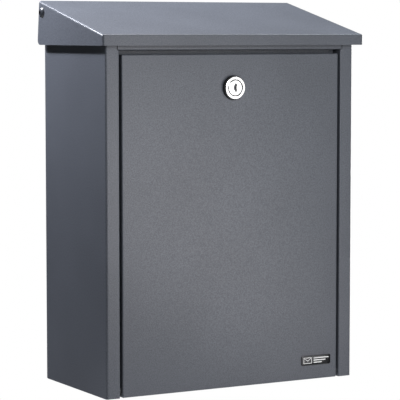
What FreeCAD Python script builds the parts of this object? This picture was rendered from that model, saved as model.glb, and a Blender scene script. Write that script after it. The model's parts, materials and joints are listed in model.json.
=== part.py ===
"""Wall mounted mailbox in folded sheet steel: a casing with a top-hinged-at-the-rear lid, a drop-down
front door and a cam lock. Every sub-part is written to parts/NODE.step, in millimetres.

Shapes are drawn in the casing's own terms: x across, depth behind the casing's front face, and height
above its underside. One shift at the end moves them into the row frame, whose origin is the centre of
the four wall screw holes, on the wall: +X to the right of the front, +Y into the wall, +Z up.
"""

import FreeCAD, Part
import math
import os
from FreeCAD import Vector

# Casing
BODY_WIDTH = 300.0
BODY_DEPTH = 147.5
LID_EDGE = 363.5            # height of the lid's lower edge, where the casing's front ends
SHEET = 1.0                 # steel thickness everywhere
BEND = 0.8                  # inner radius of every fold
STILE_WIDTH = 15.7
STILE_RETURN = 15.0
REAR_FLANGE = 12.0
LOWER_CORNER = 4.0          # rounding of the side panel's lower rear corner
SIDE = BODY_WIDTH / 2
SIDE_INNER = SIDE - SHEET
STILE_EDGE = SIDE - STILE_WIDTH

# Wall fixing
HOLE_SPACING_X = 210.0
HOLE_SPACING_Z = 250.0
HOLE_CENTRE = 180.0         # height of the pattern's centre
HOLE_RADIUS = 3.25
STANDOFF = 5.0              # the bosses hold the casing this far off the wall, so that the lid can swing
BOSS_TOP = 10.0
BOSS_BASE = 14.0
BACK_FRONT = BODY_DEPTH - 2 * SHEET
BACK_REAR = BODY_DEPTH - SHEET

# Lid
LID_OVERHANG = 7.5          # past each side
LID_FORWARD = 9.6           # in front of the casing's front face
LID_LIP = 11.4              # height of the front lip
LID_RISE = 47.3             # height of the rear edge above the lower edge
LID_REAR_TOP = BODY_DEPTH - 4.0
LID_REAR_LOW = BODY_DEPTH + 1.0
LID_CORNER = 4.0
LID_SIDE = SIDE + LID_OVERHANG
LID_SLOPE = math.atan2(LID_RISE - LID_LIP, LID_REAR_TOP + LID_FORWARD)
LID_SEAM = 0.3
LID_SWING = math.radians(70.0)

# Lid pivot
PIVOT_DEPTH = BODY_DEPTH - 11.2
PIVOT_HEIGHT = LID_EDGE + 34.9
PIVOT_RADIUS = 3.0
PIVOT_HEAD_RADIUS = 6.0
PIVOT_HEAD_HEIGHT = 3.0
RUNNING = 0.06              # radial clearance of a turning fit
LOOSE = 0.1                 # clearance between faces that slide past each other
LID_GAP = 0.6               # between the lid's underside and the edges below it

# Top rail, above the door, and the letter slot behind it
RAIL_LOW = LID_EDGE - 4.8
RAIL_TOP = LID_EDGE + 9.5
RAIL_END = SIDE - 14.0
RAIL_DEPTH = 14.0
STOP_FACE = 13.5            # depth of the lip that the door closes against
STOP_LOW = LID_EDGE - 16.5
SLOT_WIDTH = 35.0
SLOT_REAR = STOP_FACE + SHEET + SLOT_WIDTH
PLATE_FRONT_HEIGHT = LID_EDGE + 6.0
PLATE_FLANGE = 12.0
GUIDE_DEPTH = 8.0
GUIDE_DROP = 24.0

# Door
DOOR_WIDTH = 263.0
DOOR_HEIGHT = LID_EDGE - 9.1
DOOR_SIDE = DOOR_WIDTH / 2
DOOR_RETURN = 13.0
DOOR_TOP_RETURN = 12.5
DOOR_FOOT_RETURN = 9.5
HINGE_IN = 7.0              # the hinge pin's depth and its height
HINGE_PIN_RADIUS = 2.0
HINGE_HEEL = 7.4            # the door's foot stays within this radius behind the pin
FLOOR_LIP = HINGE_IN + 8.0
FLOOR_LIP_HEIGHT = 12.0
DRAIN_RADIUS = 2.5

# Lock
LOCK_HEIGHT = LID_EDGE - 44.5
GASKET_RADIUS = 12.75
GASKET = 3.4                # the black collar stands the head off the door
LOCK_HEAD_RADIUS = 12.0
LOCK_HEAD = 1.8
BARREL_RADIUS = 9.5
BARREL_FLAT = 8.25
BARREL_END = 14.2
PLUG_FACE_RADIUS = 8.0
PLUG_FACE = 1.5
PLUG_RADIUS = 6.35
PLUG_SQUARE = 7.0
KEYWAY_WIDTH = 2.6
KEYWAY_HEIGHT = 8.4
KEYWAY_END = 8.4
SHUTTER_WIDTH = 3.6
SHUTTER_HEIGHT = 8.8
SHUTTER = 0.4
SHUTTER_PIN = 0.4
LUG_INNER = 7.6
CAM_START = 15.4
CAM = 2.0
CAM_WIDTH = 14.0
CAM_REACH = 36.0
CAM_SCREW_RADIUS = 2.45
CAM_SCREW_HEAD = 4.6

# Badge on the door's lower right corner
BADGE_LEFT = 86.0
BADGE_WIDTH = 37.0
BADGE_LOW = 15.6
BADGE_HEIGHT = 10.6
BADGE_CORNER = 1.6

X, Y, Z = Vector(1, 0, 0), Vector(0, 1, 0), Vector(0, 0, 1)


# Shape helpers

def block(x0, x1, depth0, depth1, height0, height1):
    return Part.makeBox(x1 - x0, depth1 - depth0, height1 - height0, Vector(x0, depth0, height0))


def rod_x(x0, x1, depth, height, radius):
    return Part.makeCylinder(radius, x1 - x0, Vector(x0, depth, height), X)


def rod_y(x, height, depth0, depth1, radius):
    return Part.makeCylinder(radius, depth1 - depth0, Vector(x, depth0, height), Y)


def mirrored(shape):
    return shape.mirror(Vector(0, 0, 0), X)


def both_sides(shape):
    return [shape, mirrored(shape)]


def side_point(depth, height, x=0.0):
    return Vector(x, depth, height)


def plan_point(x, depth, height=0.0):
    return Vector(x, depth, height)


def along(start, end):
    length = math.hypot(end[0] - start[0], end[1] - start[1])
    return (end[0] - start[0]) / length, (end[1] - start[1]) / length


def folded(path, place, travel):
    """Sheet folded along a path of (a, b) points, lying to the path's left, drawn out along travel."""
    near, far = [path[0]], []
    first = along(path[0], path[1])
    far.append((path[0][0] - first[1] * SHEET, path[0][1] + first[0] * SHEET))
    near_arcs, far_arcs = [], []
    for before, corner, after in zip(path, path[1:], path[2:]):
        u, v = along(before, corner), along(corner, after)
        turn = math.atan2(u[0] * v[1] - u[1] * v[0], u[0] * v[0] + u[1] * v[1])
        hand = math.copysign(1.0, turn)
        radius = BEND + SHEET if hand > 0 else BEND
        setback = radius * math.tan(abs(turn) / 2)
        start = (corner[0] - u[0] * setback, corner[1] - u[1] * setback)
        end = (corner[0] + v[0] * setback, corner[1] + v[1] * setback)
        centre = (start[0] - hand * u[1] * radius, start[1] + hand * u[0] * radius)
        out = along(centre, corner)
        far_radius = radius - hand * SHEET
        near_arcs.append((start, (centre[0] + out[0] * radius, centre[1] + out[1] * radius), end))
        far_arcs.append((
            (start[0] - u[1] * SHEET, start[1] + u[0] * SHEET),
            (centre[0] + out[0] * far_radius, centre[1] + out[1] * far_radius),
            (end[0] - v[1] * SHEET, end[1] + v[0] * SHEET),
        ))
    last = along(path[-2], path[-1])
    near_end = path[-1]
    far_end = (near_end[0] - last[1] * SHEET, near_end[1] + last[0] * SHEET)
    edges, here = [], near[0]
    for arc in near_arcs:
        edges += [line(place, here, arc[0]), bow(place, *arc)]
        here = arc[2]
    edges += [line(place, here, near_end), line(place, near_end, far_end)]
    here = far_end
    for start, middle, end in reversed(far_arcs):
        edges += [line(place, here, end), bow(place, end, middle, start)]
        here = start
    edges += [line(place, here, far[0]), line(place, far[0], near[0])]
    return Part.Face(Part.Wire(edges)).extrude(travel)


def line(place, start, end):
    return Part.LineSegment(place(*start), place(*end)).toShape()


def bow(place, start, middle, end):
    return Part.Arc(place(*start), place(*middle), place(*end)).toShape()


def prism_x(points, x0, x1):
    corners = [side_point(depth, height, x0) for depth, height in points]
    return Part.Face(Part.makePolygon(corners + corners[:1])).extrude(Vector(x1 - x0, 0, 0))


def edges_where(shape, test):
    """Straight edges whose two ends both pass the test."""
    return [e for e in shape.Edges if len(e.Vertexes) == 2 and all(test(v.Point) for v in e.Vertexes)]


def near(a, b):
    return abs(a - b) < 1e-4


def hexagon_x(x0, x1, depth, height, across):
    radius = across / math.sqrt(3)
    corners = [
        Vector(x0, depth + radius * math.cos(math.radians(a)), height + radius * math.sin(math.radians(a)))
        for a in range(0, 361, 60)
    ]
    return Part.Face(Part.makePolygon(corners)).extrude(Vector(x1 - x0, 0, 0))


def hexagon_y(x, height, depth0, depth1, across):
    radius = across / math.sqrt(3)
    corners = [
        Vector(x + radius * math.cos(math.radians(a)), depth0, height + radius * math.sin(math.radians(a)))
        for a in range(30, 391, 60)
    ]
    return Part.Face(Part.makePolygon(corners)).extrude(Vector(0, depth1 - depth0, 0))


def round_shouldered(nut, radius, length, base, direction):
    """A hexagon nut's chamfered corners: what it shares with a cylinder chamfered at both ends."""
    chamfer = 0.12 * radius
    body = Part.makeCylinder(radius, length, base, direction)
    body = body.makeChamfer(chamfer, [e for e in body.Edges if e.Closed])
    return nut.common(body)


# Casing

def side_outline():
    """The side panel seen from the side: level foot, rounded lower rear corner, sloped top edge under
    the lid, and an ear around the lid pivot that the lid's underside swings past."""
    radius = lid_underside_distance() - LID_GAP
    up = (PIVOT_DEPTH - radius * math.sin(LID_SLOPE), PIVOT_HEIGHT + radius * math.cos(LID_SLOPE))
    lean = LID_SWING - LID_SLOPE
    back = (PIVOT_DEPTH + radius * math.sin(lean), PIVOT_HEIGHT + radius * math.cos(lean))
    middle_lean = (lean - LID_SLOPE) / 2
    crown = (PIVOT_DEPTH + radius * math.sin(middle_lean), PIVOT_HEIGHT + radius * math.cos(middle_lean))
    rear_height = back[1] - (BODY_DEPTH - back[0]) * math.tan(lean)
    front = -1.0  # clear of the stile's face
    front_height = up[1] - (up[0] - front) * math.tan(LID_SLOPE)
    corner = LOWER_CORNER
    quarter = corner * (1 - math.sqrt(0.5))
    edges = [
        line(side_point, (front, 0), (BODY_DEPTH - corner, 0)),
        bow(side_point, (BODY_DEPTH - corner, 0), (BODY_DEPTH - quarter, quarter), (BODY_DEPTH, corner)),
        line(side_point, (BODY_DEPTH, corner), (BODY_DEPTH, rear_height)),
        line(side_point, (BODY_DEPTH, rear_height), back),
        bow(side_point, back, crown, up),
        line(side_point, up, (front, front_height)),
        line(side_point, (front, front_height), (front, 0)),
    ]
    return Part.Face(Part.Wire(edges)).extrude(Vector(SIDE + 1, 0, 0))


def lid_underside_distance():
    """Distance from the lid pivot to the underside of the lid's sloped top."""
    top_above_pivot = LID_EDGE + LID_RISE - (LID_REAR_TOP - PIVOT_DEPTH) * math.tan(LID_SLOPE) - PIVOT_HEIGHT
    return top_above_pivot * math.cos(LID_SLOPE) - SHEET


def side_panel():
    """Right side: the stile's return, the front stile, the side and a rear flange, from one sheet."""
    path = [
        (STILE_EDGE, STILE_RETURN), (STILE_EDGE, 0), (SIDE, 0),
        (SIDE, BODY_DEPTH), (SIDE - REAR_FLANGE, BODY_DEPTH),
    ]
    panel = folded(path, plan_point, Vector(0, 0, LID_EDGE + LID_RISE)).common(side_outline())
    notch = block(STILE_EDGE - 1, RAIL_END + 0.05, -1, STILE_RETURN + 1, RAIL_LOW - 0.2, LID_EDGE + LID_RISE)
    pin_hole = rod_x(STILE_EDGE - 1, STILE_EDGE + 2, HINGE_IN, HINGE_IN, HINGE_PIN_RADIUS + 0.03)
    pivot_hole = rod_x(SIDE - 2, SIDE + 1, PIVOT_DEPTH, PIVOT_HEIGHT, PIVOT_RADIUS + 0.05)
    return panel.cut([notch, pin_hole, pivot_hole])


def wall_boss(x, height):
    """Drawn boss round one wall screw: (what is added, what is cut away)."""
    reach = STANDOFF + SHEET
    outer = Part.makeCone(BOSS_BASE, BOSS_TOP, reach, Vector(x, BACK_REAR, height), Y)
    inner = Part.makeCone(BOSS_BASE - SHEET, BOSS_TOP - SHEET, reach, Vector(x, BACK_FRONT, height), Y)
    hole = rod_y(x, height, BACK_FRONT, BODY_DEPTH + STANDOFF + 1, HOLE_RADIUS)
    return outer, [inner, hole]


def back_and_floor_panel():
    """Back and floor in one sheet, with a lip at the floor's front and flanges up its sides."""
    back_top = PIVOT_HEIGHT - 0.9
    half = SIDE_INNER - SHEET
    path = [(FLOOR_LIP, FLOOR_LIP_HEIGHT), (FLOOR_LIP, 0), (BACK_REAR, 0), (BACK_REAR, back_top)]
    panel = folded(path, lambda d, h: side_point(d, h, -half), Vector(2 * half, 0, 0))
    flange = block(half - BEND - 0.01, SIDE_INNER, FLOOR_LIP + 3, BACK_FRONT - 3, 0, FLOOR_LIP_HEIGHT)
    hollow = block(half - BEND - 1, half, FLOOR_LIP, BACK_FRONT, SHEET, FLOOR_LIP_HEIGHT + 1)
    hollow = hollow.makeFillet(BEND, edges_where(hollow, lambda p: near(p.x, half) and near(p.z, SHEET)))
    flange = flange.makeFillet(BEND + SHEET, edges_where(flange, lambda p: near(p.x, SIDE_INNER) and near(p.z, 0)))
    flange = flange.cut(hollow)
    panel = panel.fuse(both_sides(flange))
    added, removed = [], []
    for x in (-HOLE_SPACING_X / 2, HOLE_SPACING_X / 2):
        for height in (HOLE_CENTRE - HOLE_SPACING_Z / 2, HOLE_CENTRE + HOLE_SPACING_Z / 2):
            boss, cuts = wall_boss(x, height)
            added.append(boss)
            removed += cuts
    for x in (-BODY_WIDTH / 3, BODY_WIDTH / 3):
        removed.append(Part.makeCylinder(DRAIN_RADIUS, 3, Vector(x, FLOOR_LIP + 20, -1), Z))
    return panel.fuse(added).cut(removed).removeSplitter()


def top_rail():
    """Bar above the door: top return, front face, ledge over the door and the lip it closes against."""
    path = [
        (RAIL_DEPTH, RAIL_TOP), (0, RAIL_TOP), (0, RAIL_LOW),
        (STOP_FACE, RAIL_LOW), (STOP_FACE, STOP_LOW),
    ]
    rail = folded(path, lambda d, h: side_point(d, h, -SIDE_INNER), Vector(2 * SIDE_INNER, 0, 0))
    stile_room = block(RAIL_END, SIDE, -1, SHEET + BEND + 0.7, STOP_LOW, RAIL_TOP + 1)
    return_room = block(STILE_EDGE - 0.8, SIDE, -1, RAIL_DEPTH + 2, STOP_LOW - 1, RAIL_LOW)
    return rail.cut(both_sides(stile_room) + both_sides(return_room))


def slot_plate():
    """Fixed cover under the lid, from the letter slot back to the back panel, with a guide lip."""
    rise = (BACK_FRONT - SLOT_REAR) * math.tan(LID_SLOPE)
    rear_height = PLATE_FRONT_HEIGHT + rise
    path = [
        (BACK_FRONT, rear_height - PLATE_FLANGE), (BACK_FRONT, rear_height),
        (SLOT_REAR, PLATE_FRONT_HEIGHT), (SLOT_REAR + GUIDE_DEPTH, PLATE_FRONT_HEIGHT - GUIDE_DROP),
    ]
    half = SIDE_INNER - SHEET
    plate = folded(path, lambda d, h: side_point(d, h, -half), Vector(2 * half, 0, 0))
    start, end = SLOT_REAR + 12, BACK_FRONT - 6
    slope = math.tan(LID_SLOPE)
    start_height = PLATE_FRONT_HEIGHT + (start - SLOT_REAR) * slope
    end_height = PLATE_FRONT_HEIGHT + (end - SLOT_REAR) * slope
    drop = SHEET / math.cos(LID_SLOPE)
    outer = prism_x(
        [(start, start_height), (end, end_height), (end, end_height - PLATE_FLANGE),
         (start, start_height - PLATE_FLANGE)], half - BEND - 0.01, SIDE_INNER)
    top_line = lambda p: near(p.x, SIDE_INNER) and near(p.z, PLATE_FRONT_HEIGHT + (p.y - SLOT_REAR) * slope)
    outer = outer.makeFillet(BEND + SHEET, edges_where(outer, top_line))
    inner = prism_x(
        [(start - 1, start_height - slope - drop), (end + 1, end_height + slope - drop),
         (end + 1, end_height - PLATE_FLANGE - 2), (start - 1, start_height - PLATE_FLANGE - 2)],
        half - BEND - 1, half)
    under_line = lambda p: near(p.x, half) and near(p.z, PLATE_FRONT_HEIGHT + (p.y - SLOT_REAR) * slope - drop)
    inner = inner.makeFillet(BEND, edges_where(inner, under_line))
    return plate.fuse(both_sides(outer.cut(inner))).removeSplitter()


# Lid

def lid_panel():
    """Lid folded from one sheet: sloped top, front lip and two side flanges, welded at the corners."""
    slope = math.tan(LID_SLOPE)
    front = -LID_FORWARD
    lip_top = LID_EDGE + LID_LIP
    rear_top = LID_EDGE + LID_RISE
    outer = prism_x(
        [(LID_REAR_TOP, rear_top), (front, lip_top), (front, LID_EDGE), (LID_REAR_LOW, LID_EDGE)],
        -LID_SIDE, LID_SIDE)
    outer = outer.makeFillet(BEND + SHEET, lid_folds(outer, lip_top, front, LID_SIDE))
    drop = SHEET / math.cos(LID_SLOPE)
    inner_front, past = front + SHEET, LID_REAR_LOW + 20
    under = lambda depth: lip_top + (depth - front) * slope - drop
    inner = prism_x(
        [(past, under(past)), (inner_front, under(inner_front)), (inner_front, LID_EDGE - 5),
         (past, LID_EDGE - 5)], -LID_SIDE + SHEET, LID_SIDE - SHEET)
    inner = inner.makeFillet(BEND, lid_folds(inner, under(inner_front), inner_front, LID_SIDE - SHEET))
    shell = outer.cut(inner)
    seam_start = front + BEND + SHEET
    seam = block(LID_SIDE - SHEET - 0.5, LID_SIDE + 1, seam_start, seam_start + LID_SEAM, LID_EDGE - 1,
                 lip_top - BEND - SHEET)
    hole = rod_x(LID_SIDE - 3, LID_SIDE + 1, PIVOT_DEPTH, PIVOT_HEIGHT, PIVOT_RADIUS + RUNNING)
    tip = block(LID_SIDE - 3, LID_SIDE + 1, LID_REAR_LOW - LID_CORNER, LID_REAR_LOW + 1, LID_EDGE - 1,
                LID_EDGE + LID_CORNER)
    keep = rod_x(LID_SIDE - 4, LID_SIDE + 2, LID_REAR_LOW - LID_CORNER - 0.4, LID_EDGE + LID_CORNER,
                 LID_CORNER)
    return shell.cut(both_sides(seam) + both_sides(hole) + both_sides(tip.cut(keep)))


def lid_folds(shape, lip_top, front, side):
    """The edges where two of the sloped top, the two sides and the front meet."""
    slope = math.tan(LID_SLOPE)
    faces = (
        lambda p: near(p.z, lip_top + (p.y - front) * slope),
        lambda p: near(p.x, side),
        lambda p: near(p.x, -side),
        lambda p: near(p.y, front),
    )
    return [e for e in shape.Edges if sum(all(face(v.Point) for v in e.Vertexes) for face in faces) == 2]


def lid_pivot_screw():
    """Button head screw with a hexagon socket; its plain shank is the lid's hinge pin."""
    seat = LID_SIDE + 0.15
    rise = PIVOT_HEAD_HEIGHT
    ball = (PIVOT_HEAD_RADIUS ** 2 + rise ** 2) / (2 * rise)
    head = Part.makeSphere(ball, Vector(seat + rise - ball, PIVOT_DEPTH, PIVOT_HEIGHT))
    head = head.common(rod_x(seat, seat + rise + 1, PIVOT_DEPTH, PIVOT_HEIGHT, PIVOT_HEAD_RADIUS))
    shank = rod_x(SIDE_INNER - 7.5, seat + 0.5, PIVOT_DEPTH, PIVOT_HEIGHT, PIVOT_RADIUS)
    socket = hexagon_x(seat + rise - 2.0, seat + rise + 1, PIVOT_DEPTH, PIVOT_HEIGHT, 4.0)
    return head.fuse(shank).cut(socket).removeSplitter()


def lid_pivot_bush():
    """Nylon spacer with a collar, between the lid's flange and the side panel."""
    start, end = SIDE + 0.05, LID_SIDE - SHEET - LOOSE
    bush = rod_x(start, end, PIVOT_DEPTH, PIVOT_HEIGHT, 5.0)
    collar = rod_x(start, start + 1.6, PIVOT_DEPTH, PIVOT_HEIGHT, 7.0)
    bore = rod_x(start - 1, end + 1, PIVOT_DEPTH, PIVOT_HEIGHT, PIVOT_RADIUS + 0.05)
    return bush.fuse(collar).cut(bore).removeSplitter()


def lid_pivot_washer():
    ring = rod_x(SIDE_INNER - 1.0, SIDE_INNER, PIVOT_DEPTH, PIVOT_HEIGHT, 6.0)
    return ring.cut(rod_x(SIDE_INNER - 2, SIDE_INNER + 1, PIVOT_DEPTH, PIVOT_HEIGHT, PIVOT_RADIUS + 0.2))


def lid_pivot_nut():
    start, end = SIDE_INNER - 6.2, SIDE_INNER - 1.0
    nut = hexagon_x(start, end, PIVOT_DEPTH, PIVOT_HEIGHT, 10.0)
    nut = round_shouldered(nut, 5.6, end - start, Vector(start, PIVOT_DEPTH, PIVOT_HEIGHT), X)
    return nut.cut(rod_x(start - 1, end + 1, PIVOT_DEPTH, PIVOT_HEIGHT, PIVOT_RADIUS + 0.02))


# Door

def door_panel():
    """Shallow tray: front face with returns on all four sides, lock hole and hinge holes."""
    outer = block(-DOOR_SIDE, DOOR_SIDE, 0, DOOR_RETURN, 0, DOOR_HEIGHT)
    outer = outer.makeFillet(BEND + SHEET, tray_folds(outer, DOOR_SIDE, 0, 0, DOOR_HEIGHT))
    low, high = SHEET, DOOR_HEIGHT - SHEET
    inner = block(-DOOR_SIDE + SHEET, DOOR_SIDE - SHEET, SHEET, DOOR_RETURN + 9, low, high)
    inner = inner.makeFillet(BEND, tray_folds(inner, DOOR_SIDE - SHEET, SHEET, low, high))
    tray = outer.cut(inner)
    end = DOOR_SIDE - SHEET
    trims = [
        block(-end, end, DOOR_TOP_RETURN, DOOR_RETURN + 1, high - 1, DOOR_HEIGHT + 1),
        block(-end, end, DOOR_FOOT_RETURN, DOOR_RETURN + 1, -1, low + 1),
    ]
    corner_start = BEND + SHEET + 0.6
    for height0, height1 in ((-1, low + 0.01), (high - 0.01, DOOR_HEIGHT + 1)):
        slit = block(end - LID_SEAM, end, corner_start, DOOR_RETURN + 1, height0, height1)
        trims += both_sides(slit)
    heel = block(end - 1, DOOR_SIDE + 1, HINGE_IN, DOOR_RETURN + 1, -1, HINGE_IN)
    heel = heel.cut(rod_x(end - 2, DOOR_SIDE + 2, HINGE_IN, HINGE_IN, HINGE_HEEL))
    pin_hole = rod_x(end - 1, DOOR_SIDE + 1, HINGE_IN, HINGE_IN, HINGE_PIN_RADIUS + RUNNING)
    lock_hole = rod_y(0, LOCK_HEIGHT, -1, SHEET + 1, BARREL_RADIUS + LOOSE)
    flats = block(-BARREL_FLAT - LOOSE, BARREL_FLAT + LOOSE, -2, SHEET + 2, LOCK_HEIGHT - 15, LOCK_HEIGHT + 15)
    trims += both_sides(heel) + both_sides(pin_hole) + [lock_hole.common(flats)]
    return tray.cut(trims).removeSplitter()


def tray_folds(shape, side, face, low, high):
    """The folded edges of a tray: round its face, and down its four corners."""
    tests = (
        lambda p: near(p.y, face),
        lambda p: near(abs(p.x), side),
        lambda p: near(p.z, low) or near(p.z, high),
    )
    level = lambda e: near(e.Vertexes[0].Z, e.Vertexes[1].Z)
    upright = lambda e: near(e.Vertexes[0].X, e.Vertexes[1].X)
    kept = []
    for e in shape.Edges:
        passed = [all(test(v.Point) for v in e.Vertexes) for test in tests]
        if passed[0] and (passed[1] and upright(e) or passed[2] and level(e)):
            kept.append(e)
        elif passed[1] and passed[2] and upright(e) and level(e):
            kept.append(e)
    return kept


def door_hinge_pin():
    """Rivet through the stile's return, fixed there, that the door turns on."""
    head = rod_x(STILE_EDGE + SHEET, STILE_EDGE + SHEET + 1.6, HINGE_IN, HINGE_IN, 4.0)
    head = head.makeFillet(1.0, [e for e in head.Edges if e.Closed and near(e.CenterOfMass.x,
                                                                             STILE_EDGE + SHEET + 1.6)])
    inside = DOOR_SIDE - SHEET - 0.2
    shank = rod_x(inside - 0.5, STILE_EDGE + SHEET + 0.5, HINGE_IN, HINGE_IN, HINGE_PIN_RADIUS)
    tail = rod_x(inside - 1.4, inside, HINGE_IN, HINGE_IN, 3.4)
    tail = tail.makeFillet(0.8, [e for e in tail.Edges if e.Closed and near(e.CenterOfMass.x, inside - 1.4)])
    return head.fuse([shank, tail]).removeSplitter()


def door_hinge_washer():
    start, end = DOOR_SIDE + LOOSE, STILE_EDGE - LOOSE
    ring = rod_x(start, end, HINGE_IN, HINGE_IN, 4.5)
    return ring.cut(rod_x(start - 1, end + 1, HINGE_IN, HINGE_IN, HINGE_PIN_RADIUS + 0.05))


# Lock

def lock_gasket():
    ring = rod_y(0, LOCK_HEIGHT, -GASKET, 0, GASKET_RADIUS)
    return ring.cut(rod_y(0, LOCK_HEIGHT, -GASKET - 1, 1, BARREL_RADIUS + LOOSE))


def lock_housing():
    """Round head, threaded barrel with two flats, a stepped bore for the plug and a stop lug."""
    front = -GASKET - LOCK_HEAD
    head = rod_y(0, LOCK_HEIGHT, front, -GASKET, LOCK_HEAD_RADIUS)
    head = head.makeFillet(0.7, [e for e in head.Edges if e.Closed and near(e.CenterOfMass.y, front)])
    barrel = rod_y(0, LOCK_HEIGHT, -GASKET - 0.5, BARREL_END, BARREL_RADIUS)
    flats = block(-BARREL_FLAT, BARREL_FLAT, -5, BARREL_END + 1, LOCK_HEIGHT - 15, LOCK_HEIGHT + 15)
    lug = rod_y(0, LOCK_HEIGHT, BARREL_END - 0.5, BARREL_END + 1.05, BARREL_RADIUS)
    lug = lug.cut(rod_y(0, LOCK_HEIGHT, BARREL_END - 1, BARREL_END + 2, LUG_INNER))
    lug = lug.common(sector_y(LOCK_HEIGHT, BARREL_END - 1, BARREL_END + 2, 15, -30, 30))
    lug = lug.common(flats)
    bore = rod_y(0, LOCK_HEIGHT, front - 1, BARREL_END + 1, PLUG_RADIUS + RUNNING)
    seat = rod_y(0, LOCK_HEIGHT, front - 1, front + PLUG_FACE + LOOSE, PLUG_FACE_RADIUS + RUNNING)
    return head.fuse([barrel.common(flats), lug]).cut([bore, seat]).removeSplitter()


def sector_y(height, depth0, depth1, radius, angle0, angle1):
    """Wedge about the lock's axis from angle0 to angle1, in degrees; 90 points up, 0 to the right."""
    place = lambda a, r: Vector(r * math.cos(math.radians(a)), depth0, height + r * math.sin(math.radians(a)))
    rim = [place(angle0 + (angle1 - angle0) * i / 6, radius) for i in range(7)]
    centre = Vector(0, depth0, height)
    return Part.Face(Part.makePolygon([centre] + rim + [centre])).extrude(Vector(0, depth1 - depth0, 0))


def shutter_axis():
    """(x, depth) of the keyhole shutter's hinge."""
    return SHUTTER_WIDTH / 2, -GASKET - LOCK_HEAD + 1.7


def lock_plug():
    """Turning core: round face with the keyhole, barrel, and a square end that carries the cam."""
    front = -GASKET - LOCK_HEAD + 0.1
    face = rod_y(0, LOCK_HEIGHT, front, front + PLUG_FACE - 0.1, PLUG_FACE_RADIUS)
    face = face.makeFillet(0.25, [e for e in face.Edges if e.Closed and near(e.CenterOfMass.y, front)])
    core = rod_y(0, LOCK_HEIGHT, front + 1, BARREL_END + 0.05, PLUG_RADIUS)
    half = PLUG_SQUARE / 2
    square = block(-half, half, BARREL_END - 0.5, CAM_START + CAM - 0.1, LOCK_HEIGHT - half, LOCK_HEIGHT + half)
    slot = block(-KEYWAY_WIDTH / 2, KEYWAY_WIDTH / 2, front - 1, KEYWAY_END,
                 LOCK_HEIGHT - KEYWAY_HEIGHT / 2, LOCK_HEIGHT + KEYWAY_HEIGHT / 2)
    slot = slot.makeFillet(0.6, [e for e in slot.Edges if near(e.Vertexes[0].X, e.Vertexes[1].X)
                                 and near(e.Vertexes[0].Z, e.Vertexes[1].Z)])
    x, depth = shutter_axis()
    room_height = SHUTTER_HEIGHT / 2 + 0.2
    room = block(-SHUTTER_WIDTH / 2 - 0.3, x + SHUTTER_PIN + 0.3, front + 0.9, depth + SHUTTER_WIDTH + 0.6,
                 LOCK_HEIGHT - room_height, LOCK_HEIGHT + room_height)
    pin_hole = Part.makeCylinder(SHUTTER_PIN + 0.05, 2 * room_height + 1.4,
                                 Vector(x, depth, LOCK_HEIGHT - room_height - 0.7), Z)
    thread = rod_y(0, LOCK_HEIGHT, KEYWAY_END + 0.8, CAM_START + CAM + 1, CAM_SCREW_RADIUS + 0.03)
    return face.fuse([core, square]).cut([slot, room, pin_hole, thread]).removeSplitter()


def keyhole_shutter():
    """Sprung flap behind the keyhole, that a key pushes inwards."""
    x, depth = shutter_axis()
    low = LOCK_HEIGHT - SHUTTER_HEIGHT / 2
    flap = block(-SHUTTER_WIDTH / 2, x, depth - SHUTTER / 2, depth + SHUTTER / 2, low, low + SHUTTER_HEIGHT)
    pin = Part.makeCylinder(SHUTTER_PIN, SHUTTER_HEIGHT + 1.2, Vector(x, depth, low - 0.6), Z)
    return flap.fuse(pin).removeSplitter()


def stop_washer():
    """Washer on the plug's square whose cut-out runs against the housing's lug, for a quarter turn."""
    start, end = BARREL_END + 0.1, BARREL_END + 1.1
    disc = rod_y(0, LOCK_HEIGHT, start, end, BARREL_RADIUS - 0.3)
    half = PLUG_SQUARE / 2 + 0.03
    square = block(-half, half, start - 1, end + 1, LOCK_HEIGHT - half, LOCK_HEIGHT + half)
    room = rod_y(0, LOCK_HEIGHT, start - 1, end + 1, BARREL_RADIUS + 1)
    room = room.cut(rod_y(0, LOCK_HEIGHT, start - 2, end + 2, LUG_INNER - 0.2))
    room = room.common(sector_y(LOCK_HEIGHT, start - 1, end + 1, 20, -125, 34))
    return disc.cut([square, room])


def lock_cam():
    """Flat tongue, turned aside at rest; a quarter turn lifts it behind the top rail's lip."""
    half = CAM_WIDTH / 2
    start, end = CAM_START, CAM_START + CAM
    blade = block(0, CAM_REACH - half, start, end, LOCK_HEIGHT - half, LOCK_HEIGHT + half)
    tip = rod_y(CAM_REACH - half, LOCK_HEIGHT, start, end, half)
    eye = rod_y(0, LOCK_HEIGHT, start, end, half)
    side = PLUG_SQUARE / 2 + 0.03
    square = block(-side, side, start - 1, end + 1, LOCK_HEIGHT - side, LOCK_HEIGHT + side)
    cam = blade.fuse([tip, eye]).removeSplitter()
    rims = [e for e in cam.Edges if near(e.BoundBox.YMax, e.BoundBox.YMin)]
    return cam.makeFillet(0.35, rims).cut(square)


def cam_spring_washer():
    start = CAM_START + CAM + 0.05
    ring = rod_y(0, LOCK_HEIGHT, start, start + 1.2, 4.4).cut(rod_y(0, LOCK_HEIGHT, start - 1, start + 2, 2.6))
    split = block(-0.5, 0.5, start - 1, start + 3, LOCK_HEIGHT, LOCK_HEIGHT + 8)
    split.rotate(Vector(0, start + 0.6, LOCK_HEIGHT + 3.5), Z, 35)
    return ring.cut(split)


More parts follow.
